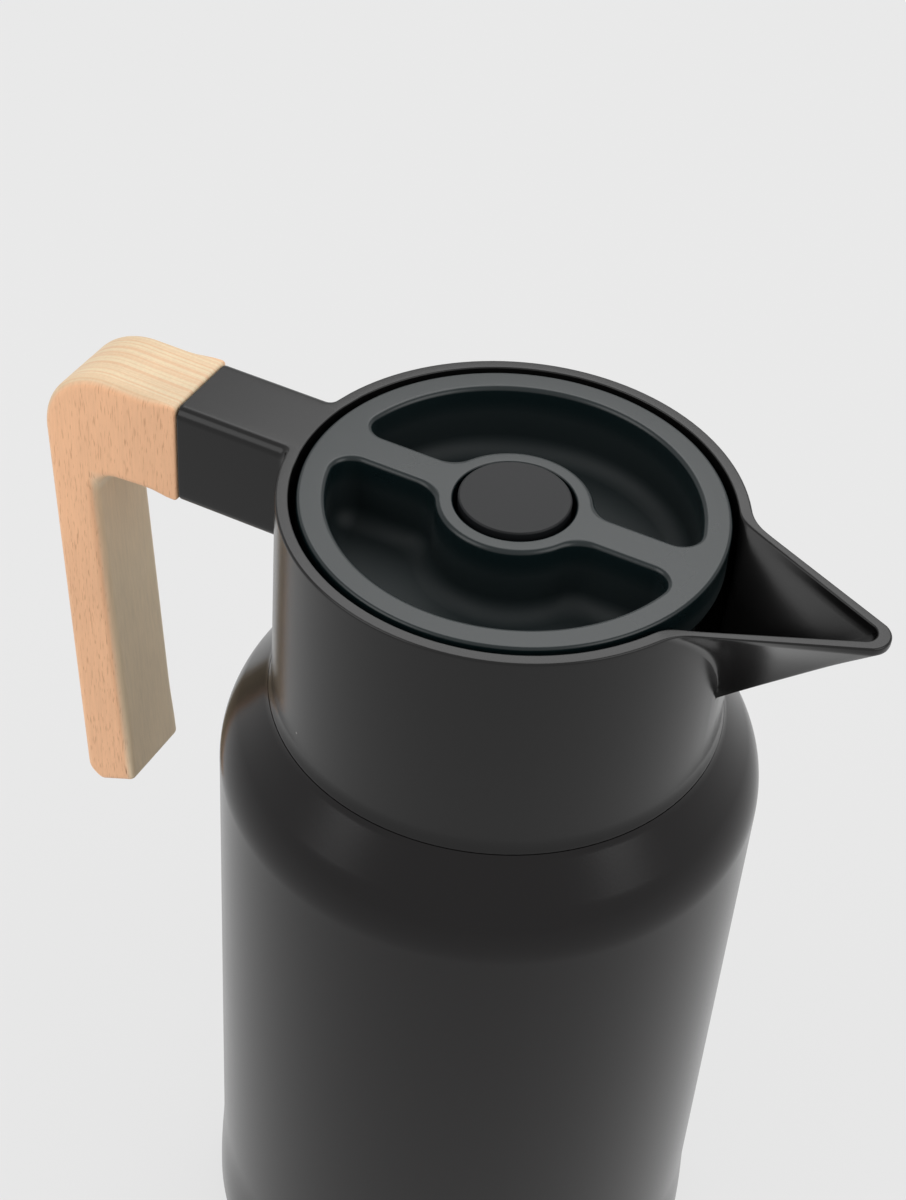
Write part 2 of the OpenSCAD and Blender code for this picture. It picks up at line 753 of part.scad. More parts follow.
outer_shell();
inner_flask();
base_plate();
getter();
vacuum_seal();
base_pad();
collar();
collar_gasket();
arm_cover();
handle_grip();
grip_inserts();
grip_screws();
stopper_seal();
lid_cap();
stopper_body();
spring_housing();
housing_ring();
return_spring();
button_cap();
valve_stem();
stem_wiper();
valve_disc();
valve_seal();
latch_ring();
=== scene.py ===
import math

import bmesh
import bpy
from mathutils import Matrix, Vector


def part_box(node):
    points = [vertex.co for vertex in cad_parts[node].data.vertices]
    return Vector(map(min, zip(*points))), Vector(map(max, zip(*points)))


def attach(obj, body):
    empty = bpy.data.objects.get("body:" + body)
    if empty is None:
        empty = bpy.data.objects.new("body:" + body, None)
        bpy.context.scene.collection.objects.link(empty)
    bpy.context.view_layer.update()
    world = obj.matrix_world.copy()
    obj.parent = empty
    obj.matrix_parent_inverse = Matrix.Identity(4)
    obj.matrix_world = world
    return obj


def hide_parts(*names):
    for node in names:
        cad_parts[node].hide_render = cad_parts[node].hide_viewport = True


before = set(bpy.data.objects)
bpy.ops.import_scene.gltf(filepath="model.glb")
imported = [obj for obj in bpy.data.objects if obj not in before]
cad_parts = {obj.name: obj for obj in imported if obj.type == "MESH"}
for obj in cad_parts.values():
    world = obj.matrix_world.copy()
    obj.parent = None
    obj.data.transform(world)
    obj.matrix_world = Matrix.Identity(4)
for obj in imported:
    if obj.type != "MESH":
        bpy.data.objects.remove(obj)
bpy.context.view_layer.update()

bl_info = {
    "name": "Thermal jug",
    "version": (1, 0, 0),
    "blender": (4, 5, 0),
    "location": "View3D > Sidebar > Jug",
    "description": "Models a thermal jug's visible pieces around its packed frame",
    "category": "Add Mesh",
}

MM = 0.001
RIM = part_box("collar")[1].z
CLOSE = 1e-6
ROUND = 192


# Settings


def mm(name, millimetres, description):
    """A length setting, given in millimetres."""
    return bpy.props.FloatProperty(
        name=name, description=description, default=millimetres * MM,
        unit="LENGTH", precision=5)


def angle(name, degrees, description):
    """An angle setting, given in degrees."""
    return bpy.props.FloatProperty(
        name=name, description=description, default=math.radians(degrees),
        subtype="ANGLE")


def shade(name, colour, description):
    """A colour setting, in linear values."""
    return bpy.props.FloatVectorProperty(
        name=name, description=description, default=colour, size=3,
        subtype="COLOR", min=0, max=1)


class JugBodySizes(bpy.types.PropertyGroup):
    """Sizes of the steel casing"""
    radius: mm("Radius", 62, "Outer radius of the body")
    wall: mm("Wall", 0.8, "Wall of the casing")
    foot: mm("Foot", 1, "Height of the casing's bottom edge")
    flare: mm("Flare", 0.9, "How far the foot flares out")
    flare_height: mm("Flare height", 25, "Height of the foot's flare")
    edge: mm("Edge", 2.6, "Radius of the bottom edge")
    shoulder: mm("Shoulder", 22, "Radius of the shoulder's round")
    waist: mm("Waist", 9, "Radius of the hollow under the collar")
    neck: mm("Neck", 44.2, "Radius of the neck inside the collar")
    slope: angle("Slope", 36, "Steepness of the shoulder")


class JugCollarSizes(bpy.types.PropertyGroup):
    """Sizes of the collar with its spout and arm"""
    rim: mm("Rim", 50, "Outer radius at the rim")
    seam: mm("Seam", 50.35, "Outer radius at the seam")
    height: mm("Height", 49.4, "Height from the seam to the rim")
    cuff: angle("Cuff", 25, "How far it reaches round the waist")
    cuff_wall: mm("Cuff wall", 2.4, "Thickness of the cuff")
    bore: mm("Bore", 47.2, "Radius of the lid's bore")
    skirt: mm("Skirt", 44.5, "Inner radius around the casing's neck")
    deck: mm("Deck", 42.7, "Radius of the deck's hole")
    deck_under: mm("Deck underside", 205.2, "Height of the deck's underside")
    deck_edge: mm("Deck edge", 209, "Height of the deck at its hole")
    deck_wall: mm("Deck wall", 211.4, "Height of the deck at the bore")
    lip_round: mm("Lip round", 0.5, "Rounding of the rim's edges")
    spout_reach: mm("Spout reach", 83, "Axis to the tip")
    spout_width: mm("Spout width", 21.4, "Half width at the root")
    spout_root: mm("Spout root", 44, "Axis to the root")
    spout_tip: mm("Spout tip", 5, "Radius of the tip from above")
    spout_depth: mm("Spout depth", 32, "Depth of the keel's foot")
    spout_nose: mm("Spout nose", 1.8, "Upright lip at the tip")
    spout_dip: mm("Spout dip", 0.6, "How far the spout's edge lies low")
    spout_wall: mm("Spout wall", 2, "Wall of the spout")
    spout_fillet: mm("Spout fillet", 3, "Softness of the spout's root")
    spout_draw: bpy.props.FloatProperty(
        name="Spout draw", description="How sharply the sides draw in", default=1.4)
    arm_end: mm("Arm end", 76.6, "Axis to the arm's end")
    arm_width: mm("Arm width", 21.5, "Width of the arm")
    arm_height: mm("Arm height", 25.7, "Height of the arm")
    arm_round: mm("Arm round", 2.6, "Rounding of its long edges")
    arm_fillet: mm("Arm fillet", 2.4, "Fillet between arm and collar")
    end_round: mm("Arm end round", 0.4, "Rounding at the arm's end")


class JugLidSizes(bpy.types.PropertyGroup):
    """Sizes of the lid and its button"""
    radius: mm("Radius", 45.6, "Outer radius of the lid")
    skirt: mm("Skirt", 9, "Height of the lid's skirt")
    edge: mm("Edge", 0.8, "Rounding of the lid's outer edge")
    recess: mm("Recess", 39.5, "Outer radius of the finger recesses")
    recess_depth: mm("Recess depth", 17, "Depth of the finger recesses")
    roll: mm("Roll", 1.2, "Rounding of the recesses' edge")
    bowl: mm("Bowl", 4.3, "Rounding at the recesses' floor")
    bar: mm("Bar", 9.4, "Width of the bar between the recesses")
    hub: mm("Hub", 16.8, "Radius of the hub in the bar")
    corner: mm("Corner", 4.5, "Radius of the recesses' corners")
    blend: mm("Blend", 7, "Radius between bar and hub")
    well: mm("Well", 13, "Radius of the button's well")
    well_edge: mm("Well edge", 0.5, "Rounding of the well's edge")
    well_foot: mm("Well foot", 217.2, "Height of the well's lower end")
    wall: mm("Wall", 1.5, "Wall of the lid")
    button: mm("Button", 12, "Radius of the button")
    button_top: mm("Button top", 237, "Height of the button's face")
    button_skirt: mm("Button skirt", 226, "Height of the button's skirt")
    button_edge: mm("Button edge", 0.5, "Rounding of the button's edge")


class JugGripSizes(bpy.types.PropertyGroup):
    """Sizes of the wooden grip"""
    start: mm("Start", 76.9, "Axis to the wood's end")
    reach: mm("Reach", 112.4, "Axis to the outer face")
    width: mm("Width", 21.5, "Width of the wood")
    height: mm("Height", 25.7, "Height of the short leg")
    outer_bend: mm("Outer bend", 18, "Radius of the outer bend")
    crook: mm("Crook", 6.5, "Radius of the inner bend")
    leg: mm("Leg", 13.2, "Thickness at the leg's top")
    foot: mm("Foot", 14.4, "Thickness at the leg's foot")
    drop: mm("Drop", 128.4, "Length of the grip below the rim")
    lean: mm("Lean", 5.4, "How far the foot leans in")
    foot_rise: mm("Foot rise", 3.4, "Rise of the foot to the inside")
    foot_round: mm("Foot round", 4.4, "Radius of the foot's outer corner")
    edge: mm("Edge", 2.6, "Rounding of the long edges")
    end_edge: mm("End edge", 0.6, "Rounding at the joint with the arm")


class JugFinish(bpy.types.PropertyGroup):
    """Colours of the jug and its stage"""
    coat: shade("Coat", (0.0046, 0.0038, 0.004), "Coating of the casing")
    collar: shade("Collar", (0.0044, 0.0042, 0.0042), "Plastic of the collar")
    lid: shade("Lid", (0.0035, 0.0085, 0.0095), "Plastic of the lid")
    button: shade("Button", (0.007, 0.0075, 0.0085), "Plastic of the button")
    inner: shade("Inner", (0.05, 0.05, 0.052), "Plastic inside the stopper")
    wood: shade("Wood", (0.81, 0.46, 0.26), "Wood of the grip")
    wood_light: shade("Pale wood", (0.69, 0.55, 0.36), "Wood between the rings")
    wood_top: shade("Top wood", (0.66, 0.44, 0.27), "Darker rings of the wood's top")
    # painted light: a paler, greyer wood colour for the leg's inner face, standing in for
    # light that face does not get
    inner_wood_painted_light: shade("Inner wood", (0.88, 0.7, 0.48), "Wood of the leg's inner face")
    steel: shade("Steel", (0.6, 0.59, 0.57), "Stainless steel")
    brass: shade("Brass", (0.7, 0.5, 0.2), "Threaded inserts")
    silicone: shade("Silicone", (0.62, 0.62, 0.6), "Sealing rings")
    pad: shade("Pad", (0.012, 0.012, 0.012), "Pad under the base")
    floor: shade("Floor", (0.8, 0.8, 0.8), "Floor and backdrop")


# Modelling


def deselect():
    """Leaves object mode with nothing selected."""
    if bpy.context.object and bpy.context.object.mode != "OBJECT":
        bpy.ops.object.mode_set(mode="OBJECT")
    bpy.ops.object.select_all(action="DESELECT")


def activate(obj):
    """Selects one object and nothing else."""
    deselect()
    obj.select_set(True)
    bpy.context.view_layer.objects.active = obj


def edit_mesh(kind, action):
    """Enters edit mode with all or nothing of a kind selected; gives the mesh."""
    bpy.ops.object.mode_set(mode="EDIT")
    bpy.ops.mesh.select_mode(type=kind)
    bpy.ops.mesh.select_all(action=action)
    return bmesh.from_edit_mesh(bpy.context.object.data)


def leave_edit():
    """Goes back to object mode."""
    bpy.ops.object.mode_set(mode="OBJECT")


def spread(start, end, steps):
    """Even steps from a value, left out, to another."""
    return [start + (end - start) * i / steps for i in range(1, steps + 1)]


def arc(cx, cy, radius, start, end, steps):
    """Points on an arc, angles in degrees, both ends included."""
    turns = [math.radians(a) for a in (start, *spread(start, end, steps))]
    return [(cx + radius * math.cos(a), cy + radius * math.sin(a)) for a in turns]


def quarter(steps):
    """Sine and cosine at the steps of a quarter turn."""
    turns = [math.pi / 2 * i / steps for i in range(steps + 1)]
    return [(math.sin(a), math.cos(a)) for a in turns]


def between(a, b, steps):
    """Points between two others, ends left out."""
    return list(zip(spread(a[0], b[0], steps), spread(a[1], b[1], steps)))[:-1]


def circle(radius, z):
    """A level ring of points."""
    turns = [math.tau * i / ROUND for i in range(ROUND)]
    return [Vector((radius * math.cos(a), radius * math.sin(a), z)) for a in turns]


def loft(name, rings, closed=False, caps=True):
    """Draws a ring out through further rings of as many points."""
    deselect()
    bpy.ops.mesh.primitive_circle_add(vertices=len(rings[0]), radius=1)
    obj = bpy.context.object
    obj.name = obj.data.name = name
    bpy.ops.object.mode_set(mode="EDIT")
    mesh = bmesh.from_edit_mesh(obj.data)
    spot = mesh.verts.layers.int.new("spot")
    mesh.verts.ensure_lookup_table()
    for i, vert in enumerate(mesh.verts):
        vert[spot] = i
        vert.co = rings[0][i]
    for ring in rings[1:]:
        bpy.ops.mesh.extrude_edges_move()
        mesh = bmesh.from_edit_mesh(obj.data)
        spot = mesh.verts.layers.int["spot"]
        for vert in mesh.verts:
            if vert.select:
                vert.co = ring[vert[spot]]
    bpy.ops.mesh.select_all(action="SELECT")
    bpy.ops.mesh.remove_doubles(threshold=CLOSE)
    if caps and not closed:
        bpy.ops.mesh.fill_holes(sides=0)
    bpy.ops.mesh.select_all(action="SELECT")
    bpy.ops.mesh.normals_make_consistent(inside=False)
    leave_edit()
    obj.data.attributes.remove(obj.data.attributes["spot"])
    return obj


def lathe(name, profile, closed=True):
    """Turns a profile of (radius, height) about the jug's axis."""
    rings = [circle(r, z) for r, z in profile]
    if closed:
        rings.append(rings[0])
    return loft(name, rings, closed=closed)


def apply_all(obj):
    """Applies an object's modifiers in order."""
    activate(obj)
    for modifier in list(obj.modifiers):
        bpy.ops.object.modifier_apply(modifier=modifier.name)


def smooth(obj, degrees=40):
    """Smooth shading that keeps flat faces flat."""
    activate(obj)
    bpy.ops.object.shade_smooth_by_angle(angle=math.radians(degrees))
    weigh = obj.modifiers.new("Flat faces", "WEIGHTED_NORMAL")
    weigh.keep_sharp = True
    weigh.weight = 100
    apply_all(obj)


def cut(obj, low, high):
    """Takes a box out of an object."""
    deselect()
    middle = [(a + b) / 2 for a, b in zip(low, high)]
    bpy.ops.mesh.primitive_cube_add(size=1, location=middle)
    cutter = bpy.context.object
    cutter.scale = [b - a for a, b in zip(low, high)]
    bpy.ops.object.transform_apply(location=True, rotation=True, scale=True)
    difference = obj.modifiers.new("Cut", "BOOLEAN")
    difference.operation = "DIFFERENCE"
    difference.solver = "MANIFOLD"
    difference.object = cutter
    apply_all(obj)
    bpy.data.objects.remove(cutter)


def dress(obj, body, nodes, material):
    """Gives a finished piece its body and its material, and hides the nodes it stands for."""
    if not obj.data.polygons:
        raise RuntimeError(obj.name + " has lost its faces")
    obj.data.materials.clear()
    obj.data.materials.append(material)
    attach(obj, body)
    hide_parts(*nodes)


def rounding(distance, radius):
    """How far a rounded edge has drawn in at a distance from the face."""
    if distance >= radius or radius <= 0:
        return 0.0
    return radius - math.sqrt(max(0.0, radius ** 2 - (radius - distance) ** 2))


def outward(outline):
    """Unit normals of a closed outline that runs counterclockwise."""
    count = len(outline)
    normals = []
    for i in range(count):
        ax, ay = outline[i - 1]
        bx, by = outline[(i + 1) % count]
        size = math.hypot(bx - ax, by - ay)
        normals.append(((by - ay) / size, (ax - bx) / size))
    return normals


def eased(value):
    """A smooth step from 0 to 1."""
    value = min(1.0, max(0.0, value))
    return value * value * (3 - 2 * value)


# Casing


# the gap behind the collar's cuff, the flat under the foot and the band over it
CUFF_GAP, SOLE, BAND = 0.3 * MM, 3 * MM, 2 * MM
# heights of the rings along the straight wall, in millimetres
WALL_HEIGHTS = (60, 90, 120, 145)
NECK_STEP, LIP_RADIUS, LIP_TOP = 203 * MM, 42.4 * MM, 206.2 * MM
FLARE_STEPS = 32


def cuff_place():
    """Height and inner radius of the collar's cuff, which follows the waist."""
    collar, waist = bpy.context.scene.jug_collar, bpy.context.scene.jug_body.waist
    inside = collar.seam + waist * (1 - math.cos(collar.cuff)) - collar.cuff_wall
    return RIM - collar.height - waist * math.sin(collar.cuff), inside


def casing_profile(size, inset):
    """Side profile of the casing, drawn in from its outer face."""
    collar = bpy.context.scene.jug_collar
    seam_z = RIM - collar.height
    cuff_z, cuff_in = cuff_place()
    slope = math.degrees(size.slope)
    bends = size.shoulder + size.waist
    run = collar.seam - size.radius + bends * (1 - math.cos(size.slope))
    straight = -run / math.sin(size.slope)
    shoulder_z = seam_z - bends * math.sin(size.slope) - straight * math.cos(size.slope)
    foot_out = size.radius + size.flare - size.edge
    foot_z = size.foot + size.edge
    flare_z = foot_z + BAND
    side = size.radius - inset
    points = [(foot_out - SOLE, size.foot + inset)]
    points += arc(foot_out, foot_z, size.edge - inset, -90, 0, 12)
    for share in (0, *spread(0, 1, FLARE_STEPS)):
        points.append((side + size.flare * (1 + math.cos(math.pi * share)) / 2,
                       flare_z + size.flare_height * share))
    points += [(side, z * MM) for z in WALL_HEIGHTS]
    points += arc(size.radius - size.shoulder, shoulder_z, size.shoulder - inset,
                  0, slope, 32)
    waist = size.waist + inset
    last = 180 + math.degrees(math.asin((seam_z - cuff_z + inset) / waist))
    points += arc(collar.seam + size.waist, seam_z, waist, 180 + slope, last, 12)
    riser, neck, lip = (r - inset for r in (cuff_in - CUFF_GAP, size.neck, LIP_RADIUS))
    seam, step = seam_z - inset, NECK_STEP - inset
    return points + [(riser, cuff_z - inset), (riser, seam), (neck, seam), (neck, step),
                     (lip, step), (lip, LIP_TOP)]


class JUG_OT_casing(bpy.types.Operator):
    """Models the coated steel casing"""
    bl_idname = "jug.casing"
    bl_label = "Casing"

    def execute(self, context):
        size = context.scene.jug_body
        profile = casing_profile(size, 0) + casing_profile(size, size.wall)[::-1]
        obj = lathe("casing", profile)
        smooth(obj)
        dress(obj, "vessel", ["outer_shell"], plastic("coat"))
        return {"FINISHED"}


# Collar


# points round the spout's tip and along its side
SPOUT_COUNTS = (10, 30)
NECK_STEPS = 50
# steps of the arm's fillet, side, corner and end
ARM_COUNTS = (8, 10, 4, 4)
ARM_CORNER = 0.6 * MM
# depths below an edge at which a ring lies, in millimetres
LEVELS = (0, 0.02, 0.06, 0.13, 0.22, 0.34, 0.5, 0.75, 1.05, 1.45, 1.95, 2.6)
# height and inset of the rings at the cuff's lower edge, in millimetres
CUFF_EDGE = ((0, 0.25), (0.08, 0.08), (0.25, 0))
# shares of the bore's edge at which a ring lies
BORE_EDGE = (0, 0.1, 0.25, 0.45, 0.7, 1)
# rings along the cuff, under the arm, along the arm's side and down the bore
CUFF_RINGS, UNDER_RINGS, SIDE_RINGS, BORE_RINGS = 6, 9, 14, 26
# how much further than a quarter the spout's tip is rounded
TIP_SIDE = math.radians(4)
LEAST_ANGLE, MOST_ANGLE, HALVINGS = math.radians(3), math.radians(60), 40
LEAST_WIDTH, LEAST_TIP, BORE_SOFT = 0.3 * MM, 0.25 * MM, 2 * MM
# the keel's reach and the depth over which the spout's softness and dip fade
FADE = 12 * MM


def spout_shape(size, depth, wall):
    """Tip, tip radius, half width and keel of the spout at a share of its depth."""
    share = max(0.0, 1 - depth)
    fall = size.spout_depth
    keel = (size.spout_reach - size.rim) * min(
        1.0, share * fall / (fall - size.spout_nose))
    tip = min(size.spout_reach - wall, size.rim + keel - 1.5 * wall)
    narrow = share ** size.spout_draw
    width = max(LEAST_WIDTH, size.spout_width * narrow - wall)
    radius = max(LEAST_TIP, (size.spout_tip - wall) * narrow)
    return tip, radius, width, keel


def spout_distance(angle, size, tip, radius, width):
    """Distance from the axis to the spout's wall, and the tip's own angle."""
    root = size.spout_root
    lean = math.atan2(width, tip - root) + TIP_SIDE
    edge = math.pi / 2 - lean
    bx, by = tip - radius + radius * math.cos(edge), radius * math.sin(edge)
    tip_angle = math.atan2(by, bx)
    if angle <= tip_angle:
        centre = tip - radius
        along = centre * math.cos(angle)
        reach = along + math.sqrt(max(0.0, radius ** 2 - (centre * math.sin(angle)) ** 2))
        return reach, tip_angle
    dx, dy = bx - root, by - width
    across = math.cos(angle) * dy - math.sin(angle) * dx
    return (root * dy - width * dx) / across, tip_angle


def spout_half(size, depth, wall, neck, softness):
    """Half of a level section through neck and spout, as polar points."""
    tip, radius, width, keel = spout_shape(size, depth, wall)
    tip_steps, side_steps = SPOUT_COUNTS
    soft = softness * min(1.0, keel / FADE)
    tip_angle = spout_distance(MOST_ANGLE, size, tip, radius, width)[1]
    low, high = tip_angle, MOST_ANGLE
    for _ in range(HALVINGS):
        middle = (low + high) / 2
        if spout_distance(middle, size, tip, radius, width)[0] > neck - soft:
            low = middle
        else:
            high = middle
    gone = depth >= 1 or tip <= neck - soft
    last = LEAST_ANGLE if gone else max(LEAST_ANGLE, low)
    first = min(tip_angle, last / 3)
    points = []
    for angle in (0, *spread(0, first, tip_steps), *spread(first, last, side_steps)[:-1]):
        reach = 0 if gone else spout_distance(angle, size, tip, radius, width)[0]
        far = max(neck, reach)
        near = abs(neck - reach)
        if near < soft:
            far += ((soft - near) / soft) ** 2 * soft / 4
        points.append((angle, far))
    return points, last


def arm_half(size, neck, side_in=0.0, end_in=0.0):
    """Half of a level section through the arm, from the neck to its end's middle."""
    fillet_steps, side_steps, corner_steps, end_steps = ARM_COUNTS
    half = size.arm_width / 2 - side_in
    end = size.arm_end - end_in
    fillet = size.arm_fillet
    fy = half + fillet
    fx = -math.sqrt((neck + fillet) ** 2 - fy ** 2)
    touch = math.degrees(math.atan2(-fy, -fx))
    points = arc(fx, fy, fillet, touch, -90, fillet_steps)
    stop = -end + ARM_CORNER
    points += between((fx, half), (stop, half), side_steps)
    last = half - ARM_CORNER
    points += arc(stop, last, ARM_CORNER, 90, 180, corner_steps)
    points += [(-end, y) for y in spread(last, 0, end_steps)]
    return points, math.atan2(points[0][1], points[0][0])


def mirrored(half):
    """Closes a half outline that runs from +X to -X by its mirror image."""
    return half + [(x, -y) for x, y in half[-2:0:-1]]


def collar_outline(size, z, wall, neck, softness, inset=0.0):
    """Half a level section round neck and spout, drawn in, and where the arm starts."""
    depth = (RIM - z) / (size.spout_depth + size.spout_dip)
    polar, last = spout_half(size, depth, wall, neck, softness)
    arm_angle = arm_half(size, neck)[1]
    arm, _ = arm_half(size, size.rim, size.arm_round, size.end_round)
    polar += [(a, neck) for a in (last, *spread(last, arm_angle, NECK_STEPS))]
    half = [(r * math.cos(a), r * math.sin(a)) for a, r in polar]
    normals = outward(mirrored(half))
    drawn = [(x - nx * inset, y - ny * inset) for (x, y), (nx, ny) in zip(half, normals)]
    return drawn[:-1], [math.atan2(y, x) for x, y in arm]


def around_bore(half, angles, reach, swell=0.0):
    """Closes a section with the arm's points laid on the neck's circle."""
    points = list(half)
    widest = math.pi - angles[0]
    for turn in angles:
        out = reach + swell * eased(5 * (1 - (math.pi - turn) / widest))
        points.append((out * math.cos(turn), out * math.sin(turn)))
    return mirrored(points)


def lowered(size, z, outline):
    """A ring of points at a height, dipped towards the spout's tip."""
    count = len(outline)
    inner, outer = sum(SPOUT_COUNTS) - 12, sum(SPOUT_COUNTS) + 4
    ring = []
    for i, (x, y) in enumerate(outline):
        near = 1 - eased((min(i, count - i) - inner) / (outer - inner))
        low = size.spout_dip * near * eased((z - RIM + FADE) / FADE)
        ring.append(Vector((x, y, z - low)))
    return ring


def collar_rings(size):
    """All rings of the collar, from its lower edge over the rim to its inside."""
    seam_z = RIM - size.height
    cuff_z, cuff_in = cuff_place()
    cuff_z += 0.05 * MM
    waist = bpy.context.scene.jug_body.waist
    arm_z = RIM - size.arm_height
    foot_z = RIM - size.spout_depth - size.spout_dip

    def neck(z):
        if z < seam_z:
            return size.seam + waist - math.sqrt(waist ** 2 - (seam_z - z) ** 2)
        return size.seam + (size.rim - size.seam) * (z - seam_z) / (RIM - seam_z)

    def plain(z, inset=0.0, swell=0.0):
        reach = neck(z) - inset
        half, angles = collar_outline(size, z, 0, reach, size.spout_fillet)
        return lowered(size, z, around_bore(half, angles, reach, swell))

    def full(z, top):
        depth = RIM - z if top else z - arm_z
        lip = rounding(depth, size.lip_round) if top else 0.0
        half, _ = collar_outline(size, z, 0, neck(z), size.spout_fillet, lip)
        arm, _ = arm_half(size, neck(z) - lip, rounding(depth, size.arm_round),
                          rounding(depth, size.end_round))
        return lowered(size, z, mirrored(half + arm))

    def inner(z, inset):
        half, angles = collar_outline(size, z, size.spout_wall, size.bore, BORE_SOFT, -inset)
        return lowered(size, z, around_bore(half, angles, size.bore + inset))

    def level(radius, z):
        half, angles = collar_outline(size, foot_z - MM, 0, radius, 0)
        return [Vector((x, y, z)) for x, y in around_bore(half, angles, radius)]

    rings = [plain(cuff_z + up * MM, inset * MM) for up, inset in CUFF_EDGE]
    rings += [plain(z) for z in spread(cuff_z, seam_z, CUFF_RINGS)]
    rings += [plain(z) for z in (seam_z + 3 * MM, seam_z + 8 * MM, foot_z - 2 * MM)]
    under = arm_z - size.arm_fillet
    rings += [plain(z) for z in (foot_z, *spread(foot_z, under, UNDER_RINGS)[:-1])]
    rings += [plain(under + size.arm_fillet * rise, 0, size.arm_fillet * (1 - run))
              for rise, run in quarter(6)]
    rings += [full(arm_z + t * MM, False) for t in LEVELS]
    nose_z = RIM - size.spout_nose - size.spout_dip
    low, high = arm_z + LEVELS[-1] * MM, RIM - LEVELS[-1] * MM
    rings += [full(z, False) for z in spread(low, high, SIDE_RINGS)[:-1]]
    rings += [full(z, True) for z in sorted({RIM - t * MM for t in LEVELS} | {nose_z})]
    edge = size.lip_round * 0.8
    rings += [inner(RIM - t * edge, rounding(t * edge, edge)) for t in BORE_EDGE]
    top, wall = RIM - edge, size.deck_wall
    rings += [inner(z, 0) for z in spread(top, wall + 1.2 * MM, BORE_RINGS)]
    deck = ((size.bore, wall + 0.6 * MM), (size.bore - 0.25 * MM, wall + 0.1 * MM),
            (size.bore - MM, wall - 0.4 * MM),
            (size.deck + 0.6 * MM, size.deck_edge + 0.2 * MM),
            (size.deck, size.deck_edge - 0.4 * MM), (size.deck, size.deck_under),
            (size.skirt, size.deck_under), (size.skirt, seam_z),
            (cuff_in, seam_z), (cuff_in, cuff_z))
    rings += [level(r, z) for r, z in deck]
    return rings + rings[:1]


class JUG_OT_collar(bpy.types.Operator):
    """Models the collar with its spout and arm"""
    bl_idname = "jug.collar"
    bl_label = "Collar, spout and arm"

    def execute(self, context):
        size = context.scene.jug_collar
        obj = loft("collar_body", collar_rings(size), closed=True)
        low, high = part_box("arm_cover")
        gap = 0.05 * MM
        cut(obj, (low.x - gap, low.y - gap, RIM - size.arm_height - MM),
            (high.x + gap, high.y + gap, high.z + gap))
        smooth(obj, 32)
        dress(obj, "vessel", ["collar"], plastic("collar"))
        return {"FINISHED"}


# Lid


def recess_outline(size, grow):
    """Outline of one finger recess, grown outwards."""
    outer = size.recess + grow
    bar = size.bar / 2 - grow
    hub = size.hub - grow
    corner = size.corner + grow
    blend = size.blend - grow
    corner_x = math.sqrt((outer - corner) ** 2 - (bar + corner) ** 2)
    blend_x = math.sqrt((hub + blend) ** 2 - (bar + blend) ** 2)
    corner_a = math.degrees(math.atan2(bar + corner, corner_x))
    blend_a = math.degrees(math.atan2(bar + blend, blend_x))
    points = arc(0, 0, outer, corner_a, 180 - corner_a, 72)
    points += arc(-corner_x, bar + corner, corner, 180 - corner_a, 270, 12)[1:]
    points += arc(-blend_x, bar + blend, blend, 270, 360 - blend_a, 8)
    points += arc(0, 0, hub, 180 - blend_a, blend_a, 24)[1:]
    points += arc(blend_x, bar + blend, blend, 180 + blend_a, 270, 8)[1:]
    points += arc(corner_x, bar + corner, corner, 270, 360 + corner_a, 12)[:-1]
    return points


def recess_rings(size):
    """Rings of a finger recess from the lid's face to its floor."""
    wall_low = RIM - size.recess_depth + size.bowl
    wall_high = RIM - size.roll
    steps = [(size.roll * (1 - sin), RIM - size.roll * (1 - cos))
             for sin, cos in quarter(8)]
    steps += [(0, z) for z in spread(wall_high, wall_low, 4)[:-1]]
    steps += [(-size.bowl * (1 - cos), wall_low - size.bowl * sin)
              for sin, cos in quarter(8)]
    return [[Vector((x, y, z)) for x, y in recess_outline(size, grow)] for grow, z in steps]


def edge_rings(radius, edge, inside, foot):
    """Rings over a rounded upper edge and down a wall."""
    sign = 1 if inside else -1
    rings = [(radius + sign * edge * (1 - sin), RIM - edge * (1 - cos))
             for sin, cos in quarter(6)]
    rings += [(radius, RIM - edge - 2 * MM), (radius, foot)]
    return [circle(r, z) for r, z in rings]


class JUG_OT_lid(bpy.types.Operator):
    """Models the lid with its finger recesses and the button's well"""
    bl_idname = "jug.lid"
    bl_label = "Lid"

    def execute(self, context):
        size = context.scene.jug_lid
        rings = recess_rings(size)
        turned = [[Vector((-p.x, -p.y, p.z)) for p in ring] for ring in rings]
        skins = {
            "lid": edge_rings(size.radius, size.edge, False, RIM - size.skirt),
            "well": edge_rings(size.well, size.well_edge, True, size.well_foot),
            "recess_far": rings, "recess_near": turned}
        parts = [loft(name, skin, caps=False) for name, skin in skins.items()]
        deselect()
        for part in parts:
            part.select_set(True)
        bpy.context.view_layer.objects.active = parts[0]
        bpy.ops.object.join()
        obj = bpy.context.object
        for level in (RIM, RIM - size.recess_depth):
            mesh = edit_mesh("EDGE", "DESELECT")
            for edge in mesh.edges:
                flat = all(abs(v.co.z - level) < CLOSE for v in edge.verts)
                if edge.is_boundary and flat:
                    edge.select_set(True)
            mesh.select_flush(True)
            bmesh.update_edit_mesh(obj.data)
            bpy.ops.mesh.fill(use_beauty=True)
            leave_edit()
        edit_mesh("VERT", "SELECT")
        bpy.ops.mesh.normals_make_consistent(inside=False)
        leave_edit()
        face_up(obj)
        wall = obj.modifiers.new("Wall", "SOLIDIFY")
        wall.thickness = size.wall
        wall.offset = -1
        wall.use_even_offset = True
        apply_all(obj)
        smooth(obj)
        dress(obj, "stopper", ["lid_cap"], plastic("lid"))
        return {"FINISHED"}


def face_up(obj):
    """Turns an open skin over if its level faces look down."""
    total = sum(p.normal.z * p.area for p in obj.data.polygons)
    if total < 0:
        activate(obj)
        edit_mesh("VERT", "SELECT")
        bpy.ops.mesh.flip_normals()
        leave_edit()


